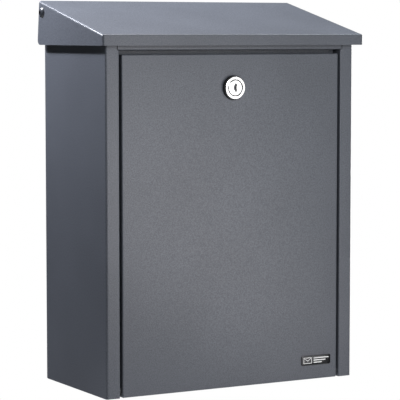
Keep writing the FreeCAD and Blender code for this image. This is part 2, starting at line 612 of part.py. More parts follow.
def cam_screw():
    """Pan head screw with a cross recess."""
    start = CAM_START + CAM + 1.3
    head = rod_y(0, LOCK_HEIGHT, start, start + 3.0, CAM_SCREW_HEAD)
    head = head.makeFillet(1.4, [e for e in head.Edges if e.Closed and near(e.CenterOfMass.y, start + 3.0)])
    shank = rod_y(0, LOCK_HEIGHT, KEYWAY_END + 1.1, start + 0.5, CAM_SCREW_RADIUS)
    bars = [
        block(-2.3, 2.3, start + 1.2, start + 4, LOCK_HEIGHT - 0.5, LOCK_HEIGHT + 0.5),
        block(-0.5, 0.5, start + 1.2, start + 4, LOCK_HEIGHT - 2.3, LOCK_HEIGHT + 2.3),
    ]
    return head.fuse(shank).cut(bars).removeSplitter()


def lock_nut():
    start, end = SHEET + 0.02, SHEET + 4.0
    nut = hexagon_y(0, LOCK_HEIGHT, start, end, 24.0)
    nut = round_shouldered(nut, 13.4, end - start, Vector(0, start, LOCK_HEIGHT), Y)
    return nut.cut(rod_y(0, LOCK_HEIGHT, start - 1, end + 1, BARREL_RADIUS + 0.03))


# Badge

def badge_slab(depth0, depth1, inset):
    slab = block(BADGE_LEFT + inset, BADGE_LEFT + BADGE_WIDTH - inset, depth0, depth1,
                 BADGE_LOW + inset, BADGE_LOW + BADGE_HEIGHT - inset)
    corners = [e for e in slab.Edges if near(e.Vertexes[0].X, e.Vertexes[1].X)
               and near(e.Vertexes[0].Z, e.Vertexes[1].Z)]
    return slab.makeFillet(BADGE_CORNER - inset, corners)


def badge_plate():
    plate = badge_slab(-1.4, -0.4, 0)
    return plate.makeFillet(0.4, [e for e in plate.Edges if near(e.BoundBox.YMin, -1.4)
                                  and near(e.BoundBox.YMax, -1.4)])


def badge_adhesive():
    return badge_slab(-0.4, 0, 0.6)


def build():
    nodes = {
        "back_and_floor_panel": back_and_floor_panel(),
        "top_rail": top_rail(),
        "slot_plate": slot_plate(),
        "lid_panel": lid_panel(),
        "door_panel": door_panel(),
        "lock_gasket": lock_gasket(),
        "lock_housing": lock_housing(),
        "lock_nut": lock_nut(),
        "lock_plug": lock_plug(),
        "keyhole_shutter": keyhole_shutter(),
        "lock_stop_washer": stop_washer(),
        "lock_cam": lock_cam(),
        "cam_spring_washer": cam_spring_washer(),
        "cam_screw": cam_screw(),
        "badge_plate": badge_plate(),
        "badge_adhesive": badge_adhesive(),
    }
    paired = {
        "side_panel": side_panel(),
        "lid_pivot_screw": lid_pivot_screw(),
        "lid_pivot_bush": lid_pivot_bush(),
        "lid_pivot_washer": lid_pivot_washer(),
        "lid_pivot_nut": lid_pivot_nut(),
        "door_hinge_pin": door_hinge_pin(),
        "door_hinge_washer": door_hinge_washer(),
    }
    for name, shape in paired.items():
        nodes[name + "_right"] = shape
        nodes[name + "_left"] = mirrored(shape)
    return nodes


def main():
    os.makedirs("parts", exist_ok=True)
    to_frame = Vector(0, -STANDOFF - BODY_DEPTH, -HOLE_CENTRE)
    for name, shape in sorted(build().items()):
        shape.translate(to_frame)
        solids = shape.Solids
        if not solids or not all(s.isValid() for s in solids):
            raise SystemExit(f"{name} is not a valid solid")
        shape = solids[0] if len(solids) == 1 else Part.makeCompound(solids)
        shape.exportStep(os.path.join("parts", name + ".step"))
        print(f"{name}: {len(solids)} solid(s), {shape.Volume:.1f} mm3")


main()
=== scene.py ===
import bpy
import bmesh
import json
import math
import numpy as np
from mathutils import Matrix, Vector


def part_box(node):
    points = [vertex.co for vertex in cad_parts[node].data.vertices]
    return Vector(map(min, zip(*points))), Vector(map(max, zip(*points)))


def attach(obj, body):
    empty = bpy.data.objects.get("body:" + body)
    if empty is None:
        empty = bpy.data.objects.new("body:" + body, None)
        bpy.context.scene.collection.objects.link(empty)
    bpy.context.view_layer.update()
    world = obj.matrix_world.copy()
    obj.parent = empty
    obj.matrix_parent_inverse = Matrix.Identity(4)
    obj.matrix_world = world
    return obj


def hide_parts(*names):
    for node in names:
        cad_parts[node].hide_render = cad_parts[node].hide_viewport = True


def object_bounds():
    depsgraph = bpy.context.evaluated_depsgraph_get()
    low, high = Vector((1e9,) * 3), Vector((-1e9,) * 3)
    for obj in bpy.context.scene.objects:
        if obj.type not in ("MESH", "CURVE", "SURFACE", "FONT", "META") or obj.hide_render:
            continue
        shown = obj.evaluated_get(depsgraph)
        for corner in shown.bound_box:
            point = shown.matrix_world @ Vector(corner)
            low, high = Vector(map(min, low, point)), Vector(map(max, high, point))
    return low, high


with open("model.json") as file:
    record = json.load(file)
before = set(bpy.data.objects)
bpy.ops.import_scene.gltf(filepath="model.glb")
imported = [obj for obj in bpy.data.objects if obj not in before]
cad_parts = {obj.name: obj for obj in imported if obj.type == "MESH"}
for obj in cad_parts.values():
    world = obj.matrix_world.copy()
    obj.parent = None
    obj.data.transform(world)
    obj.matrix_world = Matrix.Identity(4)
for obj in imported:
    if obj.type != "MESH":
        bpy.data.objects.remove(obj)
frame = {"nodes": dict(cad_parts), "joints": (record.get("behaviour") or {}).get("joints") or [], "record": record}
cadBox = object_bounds()
mm = 0.001
print("frame loaded:", len(frame["nodes"]), "nodes")


# Ways to make a mesh

def boxMm(node):
    # a node's lowest and highest corners in millimetres
    low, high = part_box(node)
    return np.array(low) / mm, np.array(high) / mm


def jointMm(name):
    joint = next(j for j in frame["joints"] if j["name"] == name)
    return np.array(joint["pos_m"]) / mm


def gridFaces(rows, columns, closeRows=False, closeColumns=False, start=0):
    # quads between neighbouring rows and columns of a grid of points, wrapped round where it closes
    index = np.arange(rows * columns).reshape(rows, columns) + start
    if closeRows:
        index = np.vstack([index, index[:1]])
    if closeColumns:
        index = np.hstack([index, index[:, :1]])
    quads = np.stack([index[:-1, :-1], index[:-1, 1:], index[1:, 1:], index[1:, :-1]], axis=-1)
    return quads.reshape(-1, 4)


def makePiece(name, points, faces, facing=None, weldMm=0.002):
    # points in millimetres become a welded mesh whose faces look outwards, or mostly along facing
    mesh = bpy.data.meshes.new(name)
    mesh.from_pydata((np.asarray(points) * mm).tolist(), [], np.asarray(faces).tolist())
    shape = bmesh.new()
    shape.from_mesh(mesh)
    bmesh.ops.remove_doubles(shape, verts=shape.verts, dist=weldMm * mm)
    bmesh.ops.dissolve_degenerate(shape, edges=shape.edges, dist=weldMm * mm)
    bmesh.ops.recalc_face_normals(shape, faces=shape.faces)
    if facing is not None:
        lean = sum(f.calc_area() * np.dot(f.normal, facing) for f in shape.faces)
        if lean < 0:
            bmesh.ops.reverse_faces(shape, faces=shape.faces)
    shape.to_mesh(mesh)
    shape.free()
    piece = bpy.data.objects.new(name, mesh)
    bpy.context.collection.objects.link(piece)
    return piece


def addGrid(pointList, faceList, grid, closeRows=False, closeColumns=False):
    start = sum(len(p) for p in pointList)
    rows, columns = grid.shape[:2]
    pointList.append(grid.reshape(-1, 3))
    faceList.append(gridFaces(rows, columns, closeRows, closeColumns, start))


def thicken(piece, wallMm):
    wall = piece.modifiers.new("wall", "SOLIDIFY")
    wall.thickness = wallMm * mm
    wall.offset = -1
    wall.use_even_offset = True


def soften(piece, widthMm, segments=2, angleDeg=40):
    # coated and drawn metal has no sharp arris
    rounding = piece.modifiers.new("rounding", "BEVEL")
    rounding.width = widthMm * mm
    rounding.segments = segments
    rounding.limit_method = "ANGLE"
    rounding.angle_limit = math.radians(angleDeg)
    rounding.use_clamp_overlap = True


def settle(piece, sharpDeg=35):
    # modifiers are applied, and flat faces keep their own direction beside a rounded edge
    bpy.context.view_layer.update()
    made = bpy.data.meshes.new_from_object(piece.evaluated_get(bpy.context.evaluated_depsgraph_get()))
    piece.modifiers.clear()
    piece.data = made
    made.shade_smooth()
    made.set_sharp_from_angle(angle=math.radians(sharpDeg))
    weighted = piece.modifiers.new("weighted", "WEIGHTED_NORMAL")
    weighted.keep_sharp = True
    weighted.weight = 60
    bpy.context.view_layer.update()
    final = bpy.data.meshes.new_from_object(piece.evaluated_get(bpy.context.evaluated_depsgraph_get()))
    piece.modifiers.clear()
    piece.data = final
    return piece


def spread(start, end, count, crowd=0.0):
    # numbers from start to end; crowd pulls them towards both ends, by a sine of their place
    t = np.linspace(0, 1, count)
    t = t - crowd * np.sin(2 * np.pi * t) / (2 * np.pi)
    return start + (end - start) * t


def roundedPath(corners, radii, steps):
    # a path of straight runs, each turn replaced by an arc tangent to both; one radius, or one for each turn
    corners = [np.array(c, float) for c in corners]
    path = [corners[0]]
    radii = np.broadcast_to(radii, len(corners) - 2)
    for before, here, after, radius in zip(corners, corners[1:], corners[2:], radii):
        u = (here - before) / np.linalg.norm(here - before)
        v = (after - here) / np.linalg.norm(after - here)
        turn = math.atan2(u[0] * v[1] - u[1] * v[0], u @ v)
        side = math.copysign(1.0, turn)
        start = here - u * radius * math.tan(abs(turn) / 2)
        centre = start + side * radius * np.array([-u[1], u[0]])
        angles = np.linspace(0, turn, steps)
        spoke = start - centre
        arc = np.column_stack([
            centre[0] + spoke[0] * np.cos(angles) - spoke[1] * np.sin(angles),
            centre[1] + spoke[0] * np.sin(angles) + spoke[1] * np.cos(angles),
        ])
        path.extend(arc)
    path.append(corners[-1])
    return np.array(path)


def turnedGrid(profile, centre, count=96):
    # profile of (distance from the axis, distance along it), turned through a full circle about Y
    profile = np.array(profile, float)
    angles = np.linspace(0, 2 * np.pi, count, endpoint=False)[:, None]
    r, t = profile[None, :, 0], profile[None, :, 1]
    along = np.broadcast_to(t, (count, len(profile)))
    return np.stack([r * np.cos(angles), along, r * np.sin(angles)], axis=-1) + np.array(centre)


# Nodes and materials

def addNode(material, kind, settings=None, **links):
    # One node with its settings, and its inputs set to values or linked to other nodes' sockets. An input
    # goes by its name, or by _ and its number where names repeat.
    tree = material.node_tree
    node = tree.nodes.new(kind)
    for key, value in (settings or {}).items():
        setattr(node, key, value)
    for key, value in links.items():
        socket = node.inputs[int(key[1:])] if key[1:].isdigit() else node.inputs[key.replace("_", " ")]
        if isinstance(value, bpy.types.NodeSocket):
            tree.links.new(value, socket)
        else:
            socket.default_value = value
    return node


def linear(hexColour):
    # sRGB hex to linear light
    parts = np.array([int(hexColour[i:i + 2], 16) for i in (1, 3, 5)]) / 255
    light = np.where(parts <= 0.04045, parts / 12.92, ((parts + 0.055) / 1.055) ** 2.4)
    return (*light.tolist(), 1.0)


def startMaterial(name, **settings):
    material = bpy.data.materials.new(name)
    material.use_nodes = True
    shader = material.node_tree.nodes["Principled BSDF"]
    for key, value in settings.items():
        shader.inputs[key.replace("_", " ")].default_value = value
    return material, shader


def feed(material, output, shader, socketName):
    material.node_tree.links.new(output, shader.inputs[socketName])


def perMetre(sizeMm):
    # texture scale that gives cells of this size, on coordinates in metres
    return 1.0 / (sizeMm * mm)


def powderCoat(name, colours, grainMm, roughness):
    # Powder-coated steel: polyester powder sprayed and baked into a fine sand texture. To the eye it is
    # matt, with a faint speckle, a soft broad sheen and a slightly cloudy colour. The real grain of
    # about 0.4 mm is drawn coarser, so that it shows.
    material, shader = startMaterial(name, Roughness=roughness, IOR=1.5)
    place = addNode(material, "ShaderNodeTexCoord").outputs["Object"]
    grain = addNode(material, "ShaderNodeTexNoise", Vector=place, Scale=perMetre(grainMm), Detail=3.0,
                    Roughness=0.65)
    cloud = addNode(material, "ShaderNodeTexNoise", Vector=place, Scale=perMetre(90), Detail=2.0,
                    Roughness=0.5)
    speck = addNode(material, "ShaderNodeMapRange", Value=grain.outputs["Fac"], From_Min=0.33, From_Max=0.67)
    tone = addNode(material, "ShaderNodeMix", {"data_type": "RGBA"}, _0=speck.outputs["Result"],
                   _6=linear(colours["hollow"]), _7=linear(colours["grain"]))
    drift = addNode(material, "ShaderNodeMapRange", Value=cloud.outputs["Fac"], From_Min=0.3, From_Max=0.7,
                    To_Min=0.93, To_Max=1.06)
    shaded = addNode(material, "ShaderNodeVectorMath", {"operation": "SCALE"}, _0=tone.outputs[2],
                     Scale=drift.outputs["Result"])
    feed(material, shaded.outputs["Vector"], shader, "Base Color")
    gloss = addNode(material, "ShaderNodeMapRange", Value=grain.outputs["Fac"], From_Min=0.3, From_Max=0.7,
                    To_Min=roughness + 0.05, To_Max=roughness - 0.03)
    feed(material, gloss.outputs["Result"], shader, "Roughness")
    relief = addNode(material, "ShaderNodeBump", Strength=0.16, Distance=0.00012,
                     Height=grain.outputs["Fac"])
    feed(material, relief.outputs["Normal"], shader, "Normal")
    return material


def platedMetal(name, hexLight, hexDark, roughness, scratchMm, strength):
    # Plated metal, turned or stamped and then bright plated: a clear reflection with faint hairlines and
    # slightly duller patches where it has been handled.
    material, shader = startMaterial(name, Metallic=1.0, Roughness=roughness)
    place = addNode(material, "ShaderNodeTexCoord").outputs["Object"]
    stretched = addNode(material, "ShaderNodeMapping", Vector=place, Scale=(1.0, 1.0, 9.0))
    lines = addNode(material, "ShaderNodeTexNoise", Vector=stretched.outputs["Vector"],
                    Scale=perMetre(scratchMm * 3), Detail=4.0, Roughness=0.7)
    patches = addNode(material, "ShaderNodeTexNoise", Vector=place, Scale=perMetre(6), Detail=2.0)
    tone = addNode(material, "ShaderNodeMix", {"data_type": "RGBA"}, _0=patches.outputs["Fac"],
                   _6=linear(hexDark), _7=linear(hexLight))
    feed(material, tone.outputs[2], shader, "Base Color")
    dull = addNode(material, "ShaderNodeMapRange", Value=lines.outputs["Fac"], From_Min=0.3, From_Max=0.7,
                   To_Min=roughness * 0.75, To_Max=roughness * 1.35)
    feed(material, dull.outputs["Result"], shader, "Roughness")
    relief = addNode(material, "ShaderNodeBump", Strength=strength, Distance=0.00003,
                     Height=lines.outputs["Fac"])
    feed(material, relief.outputs["Normal"], shader, "Normal")
    return material


def mouldedPlastic(name, hexLight, hexDark, roughness, grainMm, depthMm):
    # Moulded or foamed plastic and rubber: an even colour with a fine grain taken from the mould.
    material, shader = startMaterial(name, Roughness=roughness, IOR=1.5)
    place = addNode(material, "ShaderNodeTexCoord").outputs["Object"]
    grain = addNode(material, "ShaderNodeTexNoise", Vector=place, Scale=perMetre(grainMm), Detail=3.0)
    tone = addNode(material, "ShaderNodeMix", {"data_type": "RGBA"}, _0=grain.outputs["Fac"],
                   _6=linear(hexDark), _7=linear(hexLight))
    feed(material, tone.outputs[2], shader, "Base Color")
    gloss = addNode(material, "ShaderNodeMapRange", Value=grain.outputs["Fac"],
                    To_Min=roughness - 0.05, To_Max=roughness + 0.08)
    feed(material, gloss.outputs["Result"], shader, "Roughness")
    relief = addNode(material, "ShaderNodeBump", Strength=0.3, Distance=depthMm * mm,
                     Height=grain.outputs["Fac"])
    feed(material, relief.outputs["Normal"], shader, "Normal")
    return material


anthracite = {"grain": "#5b5e64", "hollow": "#42454b"}
coatedSteel = powderCoat("powderCoatedSteel", anthracite, 1.2, 0.35)
# the black screws' dull passivated film has the same speckle, darker, finer and glossier
coatedScrew = powderCoat("blackPassivatedScrew", {"grain": "#3a3c41", "hollow": "#292b2f"}, 0.7, 0.27)
polishedNickel = platedMetal("polishedNickel", "#f4f3f0", "#ebe9e5", 0.13, 0.25, 0.1)
zincSteel = platedMetal("zincPlatedSteel", "#c3c3be", "#a5a6a3", 0.32, 0.3, 0.4)
springSteel = platedMetal("blackenedSpringSteel", "#565657", "#3d3d3e", 0.42, 0.3, 0.3)
blackNylon = mouldedPlastic("blackNylon", "#26272a", "#1a1b1d", 0.5, 0.5, 0.02)
gasketRubber = mouldedPlastic("gasketRubber", "#1d1d1e", "#121213", 0.75, 0.4, 0.03)
badgeGloss = mouldedPlastic("domedBadgeResin", "#101114", "#0b0c0e", 0.18, 2.0, 0.004)
badgeInk = mouldedPlastic("screenPrintInk", "#e8e8e4", "#d8d8d4", 0.4, 0.3, 0.004)
foamTape = mouldedPlastic("foamTape", "#b9b8b2", "#9d9c96", 0.85, 0.3, 0.05)
print("materials made")

nodeMaterials = {
    "powder_coat": coatedSteel, "dark_steel": coatedScrew, "zinc_steel": zincSteel,
    "nickel": polishedNickel, "shutter_steel": springSteel, "nylon": blackNylon,
    "gasket_rubber": gasketRubber, "badge": badgeGloss, "adhesive": foamTape,
}


def finishNodes():
    slots = {s["node"]: s["material_slot"] for s in frame["record"]["subparts"]}
    for name, node in frame["nodes"].items():
        for place in range(len(node.material_slots)):
            node.material_slots[place].material = nodeMaterials[slots[name]]


def dress(piece, material, body, slotName, *replaced):
    piece.data.materials.clear()
    piece.data.materials.append(material)
    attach(piece, body)
    if replaced:
        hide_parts(*replaced)


# Folded sheet panels

sheetMetal = {"wallMm": 1.0, "foldMm": 1.25, "lidFoldMm": 2.7, "foldSteps": 9, "arrisMm": 0.22}


def trayOutline(aSteps, bSteps, radius, openEnd):
    # Outline of a rectangle with round corners as (points, inward directions); aSteps and bSteps are the
    # stations along its sides. A tray that is open at its far end leaves that side out.
    a0, a1 = aSteps[0] - radius, aSteps[-1] + radius
    b0, b1 = bSteps[0] - radius, bSteps[-1] + radius

    def side(a, b, inward):
        points = np.column_stack(np.broadcast_arrays(a, b)).astype(float)
        return points, np.tile(inward, (len(points), 1))

    def corner(a, b, startDeg):
        angles = np.radians(np.linspace(startDeg, startDeg + 90, sheetMetal["foldSteps"])[1:-1])
        out = np.column_stack([np.cos(angles), np.sin(angles)])
        return np.array([a, b]) + out * radius, -out

    near, far = (bSteps[0], bSteps[-1])
    left, right = (aSteps[0], aSteps[-1])
    parts = [
        side(a0, bSteps[::-1], (1, 0)), corner(left, near, 180), side(aSteps, b0, (0, 1)),
        corner(right, near, 270), side(a1, bSteps, (-1, 0)),
    ]
    if not openEnd:
        parts += [corner(right, far, 0), side(aSteps[::-1], b1, (0, -1)), corner(left, far, 90)]
    return np.vstack([p[0] for p in parts]), np.vstack([p[1] for p in parts])


def foldedTray(aSteps, bSteps, radius, wallDrop, openEnd, endFold=None):
    # A face with its rim folded down. Across the fold an angle runs from 0 at the wall to 90 degrees at
    # the face: the inset is fold (1 - cos), the drop is fold (1 - sin). The fold's radius goes from
    # radius at the sides to endFold at the ends, by the squares of the inward direction's parts. Below it
    # the wall goes straight down to wallDrop. Returns grids of (a, b, drop below the face).
    outline, inward = trayOutline(aSteps, bSteps, radius, openEnd)
    fold = radius * inward[:, 0] ** 2 + (endFold or radius) * inward[:, 1] ** 2
    angles = np.radians(np.linspace(0, 90, sheetMetal["foldSteps"]))[:, None]
    low = wallDrop(outline)
    fractions = np.linspace(0, 1, 12)[:-1, None]
    flat = np.zeros((1, len(outline)))
    drops = np.vstack([low + (fold - low) * fractions, fold * (1 - np.sin(angles)), flat])
    insets = np.vstack([fold * 0 * fractions, fold * (1 - np.cos(angles)), flat + radius])
    rim = outline[None] + inward[None] * insets[:, :, None]
    rimGrid = np.concatenate([rim, drops[..., None]], axis=-1)
    a, b = np.meshgrid(aSteps, bSteps, indexing="ij")
    faceGrid = np.stack([a, b, np.zeros_like(a)], axis=-1)
    return rimGrid, faceGrid


lid = {
    "lipMm": 11.4,              # height of the front lip
    "lipFoldMm": 0.7,           # its fold is sharper than the sides'
    "rearLeanMm": 5.0,          # how far the flanges' rear edge leans back, from top to foot
    "rearCornerMm": 6.0,        # rounding of its lower end
    "cornerCutMm": 0.4,         # the rounded corner's box stops this far short of the sharp corner
    "sagMm": 0.25,              # the sheet's slight hollow between its folds
}


def lidLine():
    # where the lid's top starts at the front and ends at the rear, and how steeply it rises between them
    low, high = boxMm("lid_panel")
    front, rearTop = low[1], high[1] + lid["cornerCutMm"] - lid["rearLeanMm"]
    return front, rearTop, (high[2] - low[2] - lid["lipMm"]) / (rearTop - front)


def makeLid():
    low, high = boxMm("lid_panel")
    front, rearTop, slope = lidLine()
    radius = sheetMetal["lidFoldMm"]
    aSteps = spread(low[0] + radius, high[0] - radius, 61, 0.7)
    rearCurve = lid["rearCornerMm"] * np.array([0.8, 0.6, 0.45, 0.3, 0.2, 0.1, 0.04, 0.0])
    bSteps = np.concatenate([spread(front + radius, rearTop, 41, 0.7)[:-1], rearTop - rearCurve])
    bSteps = np.unique(np.round(bSteps, 4))

    def top(y):
        return low[2] + lid["lipMm"] + (y - front) * slope

    def wallDrop(outline):
        # down to the level lower edge, lifted round the rear corner
        run = (outline[:, 1] - front) / (rearTop - front)
        past = outline[:, 1] + lid["rearLeanMm"] * run - (high[1] + lid["cornerCutMm"] - lid["rearCornerMm"])
        into = np.clip(past / lid["rearCornerMm"], 0, 0.999)
        lift = lid["rearCornerMm"] * (1 - np.sqrt(1 - into ** 2))
        return top(outline[:, 1]) - low[2] - lift

    rim, face = foldedTray(aSteps, bSteps, radius, wallDrop, openEnd=True, endFold=lid["lipFoldMm"])
    points, faces = [], []
    for grid in (rim, face):
        x, y, drop = grid[..., 0], grid[..., 1], grid[..., 2]
        across = np.clip(1 - (x / (high[0] - radius)) ** 2, 0, 1)
        along = np.clip(np.sin(np.pi * (y - front) / (rearTop - front)), 0, 1)
        z = top(y) - drop - lid["sagMm"] * across * along * (drop <= 0)
        lean = lid["rearLeanMm"] * (y - front) / (rearTop - front) * drop / (high[2] - low[2])
        addGrid(points, faces, np.stack([x, y + lean, z], axis=-1))
    piece = makePiece("lidShell", np.vstack(points), np.vstack(faces), facing=(0, 0, 1))
    thicken(piece, sheetMetal["wallMm"])
    soften(piece, sheetMetal["arrisMm"])
    settle(piece)
    dress(piece, coatedSteel, "lid", "powder_coat", "lid_panel")


door = {
    "topReturnMm": 12.5,
    "heelMm": 7.4,              # the foot stays within this distance behind the hinge pin
    "bowMm": 0.35,              # the large face is very slightly proud in its middle
    "lockRoomMm": 14.0,         # half the square round the lock in which its hole is drawn
    "lockLooseMm": 0.2,         # the hole's clearance round the lock's barrel
}


def makeDoor():
    # The face bows by (1 - u^2)(1 - v^2), where u and v run from -1 to 1 across and up. Round the lock the
    # grid leaves out a square, which is filled by rows of points that go from its outline to a circle.
    low, high = boxMm("door_panel")
    pin, lockAxis = jointMm("door_hinge"), jointMm("lock_turn")
    front, depth = low[1], high[1] - low[1]
    radius, room = sheetMetal["foldMm"], door["lockRoomMm"]
    near = room * np.linspace(-1, 1, 9)

    def stations(start, end, count, centre):
        steps = spread(start + radius, end - radius, count, 0.8)
        return np.sort(np.concatenate([steps[np.abs(steps - centre) > room + 1], centre + near]))

    def wallDrop(outline):
        # full depth at the sides, less at the top, and inside the heel circle round the pin at the foot
        below = np.clip(pin[2] - outline[:, 1], 0, door["heelMm"] - 0.01)
        heel = pin[1] - front + np.sqrt(door["heelMm"] ** 2 - below ** 2)
        atTop = outline[:, 1] > high[2] - radius
        limit = np.where(atTop, door["topReturnMm"], depth)
        return np.where(below > 0, np.minimum(limit, heel), limit)

    def onFace(x, z):
        u = x / (high[0] - radius)
        v = (z - (low[2] + high[2]) / 2) / ((high[2] - low[2]) / 2 - radius)
        bow = door["bowMm"] * np.clip((1 - u ** 2) * (1 - v ** 2), 0, 1) ** 0.8
        return np.stack([x, front - bow, z], axis=-1)

    rim, face = foldedTray(stations(low[0], high[0], 41, lockAxis[0]),
                           stations(low[2], high[2], 81, lockAxis[2]), radius, wallDrop, openEnd=False)
    points, faces = [], []
    addGrid(points, faces, onFace(face[..., 0], face[..., 1]))
    middles = points[0][faces[0]].mean(axis=1)
    faces[0] = faces[0][(np.abs(middles - lockAxis)[:, [0, 2]] > room).any(axis=1)]
    run, far = near[:-1], np.full(8, room)
    sides = ((run, -far), (far, run), (-run, far), (-far, -run))
    square = np.vstack([np.column_stack(pair) for pair in sides])
    circle = square / np.linalg.norm(square, axis=1)[:, None] * (lock["barrelMm"][0] + door["lockLooseMm"])
    patch = circle + (square - circle) * np.linspace(0, 1, 4)[:, None, None]
    addGrid(points, faces, onFace(lockAxis[0] + patch[..., 0], lockAxis[2] + patch[..., 1]),
            closeColumns=True)
    addGrid(points, faces, np.stack([rim[..., 0], front + rim[..., 2], rim[..., 1]], axis=-1),
            closeColumns=True)
    piece = makePiece("doorShell", np.vstack(points), np.vstack(faces), facing=(0, -1, 0))
    thicken(piece, sheetMetal["wallMm"])
    soften(piece, sheetMetal["arrisMm"])
    settle(piece)
    dress(piece, coatedSteel, "door", "powder_coat", "door_panel")


side = {
    "stileReturnMm": 15.0,
    "edgeMm": 2.2,              # fold radius between the side and the stile, and at the rear
    "rearFlangeMm": 12.0,
    "lowerCornerMm": 4.0,
    "lidGapMm": 0.6,            # between the top edge and the lid's underside
    "swingDeg": 70.0,           # the lid's travel, which the top edge behind the pivot keeps clear of
    "notchMm": 13.2,            # the stile stands full height this far in from the side, clear of the rail
    "underRailMm": 0.2,         # and further in it stops this far below the rail
}


def makeSide(name, node, sign):
    low, high = boxMm(node)
    outer = max(abs(low[0]), abs(high[0]))
    inner = min(abs(low[0]), abs(high[0]))
    front, rear, foot = low[1], high[1], low[2]
    lidFront, _, steepness = lidLine()
    railLow = boxMm("top_rail")[0][2] + seam["railMm"]
    pivot = jointMm("lid_hinge")
    slope = math.atan(steepness)
    lidTopAtPivot = boxMm("lid_panel")[0][2] + lid["lipMm"] + (pivot[1] - lidFront) * steepness
    reach = (lidTopAtPivot - pivot[2]) * math.cos(slope) - sheetMetal["wallMm"] - side["lidGapMm"]
    lean = math.radians(side["swingDeg"]) - slope
    notch = outer - side["notchMm"]
    path = roundedPath(
        [(inner, front + side["stileReturnMm"]), (inner, front), (outer, front), (outer, rear),
         (outer - side["rearFlangeMm"], rear)],
        (sheetMetal["foldMm"], side["edgeMm"], side["edgeMm"]), sheetMetal["foldSteps"])
    # more stations: either side of the rail's notch, along the side, and close together at its curves
    stile = np.array([[notch - 0.01, front], [notch + 0.01, front]])
    bends = sheetMetal["foldSteps"]
    arcs = pivot[1] + reach * np.linspace(-math.sin(slope), math.sin(lean), 15)
    foots = rear - side["lowerCornerMm"] + side["lowerCornerMm"] * np.sin(np.radians([0, 15, 30, 40]))
    flank = np.unique(np.concatenate([spread(front + 3, pivot[1] - 12, 30), arcs, foots]))
    flank = flank[flank < rear - side["edgeMm"] - 0.02]
    flank = np.column_stack([np.full_like(flank, outer), flank])
    path = np.vstack([path[:1 + bends], stile, path[1 + bends:1 + 2 * bends], flank,
                      path[1 + 2 * bends:]])
    x, y = path[:, 0], path[:, 1]
    # top edge: a slope under the lid, an arc round the pivot, and a lean behind it
    level = pivot[2] + reach / math.cos(slope) + (y - pivot[1]) * math.tan(slope)
    crown = pivot[2] + np.sqrt(np.clip(reach ** 2 - (y - pivot[1]) ** 2, 0, None))
    behind = pivot[2] + reach / math.cos(lean) - (y - pivot[1]) * math.tan(lean)
    top = np.where(y < pivot[1] - reach * math.sin(slope), level, crown)
    top = np.where(y > pivot[1] + reach * math.sin(lean), behind, top)
    top = np.where(x < notch, railLow - side["underRailMm"], top)
    top = np.where((x > outer - side["rearFlangeMm"] - 1) & (y > rear - 1), behind, top)
    into = np.clip((y - (rear - side["lowerCornerMm"])) / side["lowerCornerMm"], 0, 1)
    bottom = foot + side["lowerCornerMm"] * (1 - np.sqrt(1 - into ** 2))
    t = spread(0, 1, 31, 0.6)[:, None]
    z = bottom[None] + (top - bottom)[None] * t
    grid = np.stack([np.broadcast_to(x * sign, z.shape), np.broadcast_to(y, z.shape), z], axis=-1)
    piece = makePiece(name, grid.reshape(-1, 3), gridFaces(*z.shape), facing=(sign, 0, 0))
    thicken(piece, sheetMetal["wallMm"])
    soften(piece, sheetMetal["arrisMm"])
    settle(piece)
    dress(piece, coatedSteel, "casing", "powder_coat", node)


seam = {
    "railMm": 11.7,             # height of the rail's lower edge above the foot of its stop lip
    "railEndMm": 14.0,          # the rail's front ends this far in from the side
    "looseMm": 0.06,
    "wallMm": 0.8,
    "widthMm": 5.0,
}


def makeSeamTab(name, sign):
    # the tab behind the stile that closes the seam at the rail's end
    low, high = boxMm("top_rail")
    railEnd = boxMm("side_panel_right")[1][0] - seam["railEndMm"]
    x = sign * (railEnd + seam["looseMm"] + np.array([0, seam["widthMm"]]))
    y = low[1] + sheetMetal["wallMm"] + seam["looseMm"] + np.array([0, seam["wallMm"]])
    z = np.array([low[2] + seam["railMm"], high[2] - sheetMetal["wallMm"]])
    section = np.stack([x[[0, 1, 1, 0]], y[[0, 0, 1, 1]]], axis=1)
    corners = np.vstack([np.column_stack([section, np.full(4, height)]) for height in z])
    piece = makePiece(name, corners, [(0, 1, 2, 3), (4, 5, 6, 7), (0, 1, 5, 4), (1, 2, 6, 5), (2, 3, 7, 6),
                                      (3, 0, 4, 7)])
    soften(piece, sheetMetal["arrisMm"])
    settle(piece)
    dress(piece, coatedSteel, "casing", "powder_coat")


# Lock

lock = {
    "rimMm": 0.7,               # rounding of the head's outer edge
    "recessMm": 1.5,            # depth of the turning face's seat in the head
    "gapMm": 0.85,              # gap round the turning face
    "shadeRingDepthMm": 0.35,        # how far the dark ring that stands in for the gap's shade lies under the front
    "bevelMm": (0.2, 0.2),      # width and depth of the head's slope down to the gap
    "faceEdgeMm": 0.4,          # rounding of the turning face
    "threadPitchMm": 1.0,
    "barrelMm": (9.5, 8.25),    # the barrel's radius, and half its width over the two flats
    "plugMm": (6.35, 3.5),      # the core's radius and half the square that drives the cam
    "keyholeMm": (3.4, 8.6),    # width and height
    "wardMm": 0.5,              # how far the keyhole bows to one side
    "lugDeg": 30.0,             # the stop lug reaches this far either side of level
    "lugMm": (7.6, 1.05),       # its inner radius and its height
    "boreMm": 6.5,              # radius of the bore that the core turns in
}


def arcProfile(centreR, centreT, radius, startDeg, endDeg, count):
    angles = np.radians(np.linspace(startDeg, endDeg, count))
    return list(zip(centreR + radius * np.cos(angles), centreT + radius * np.sin(angles)))


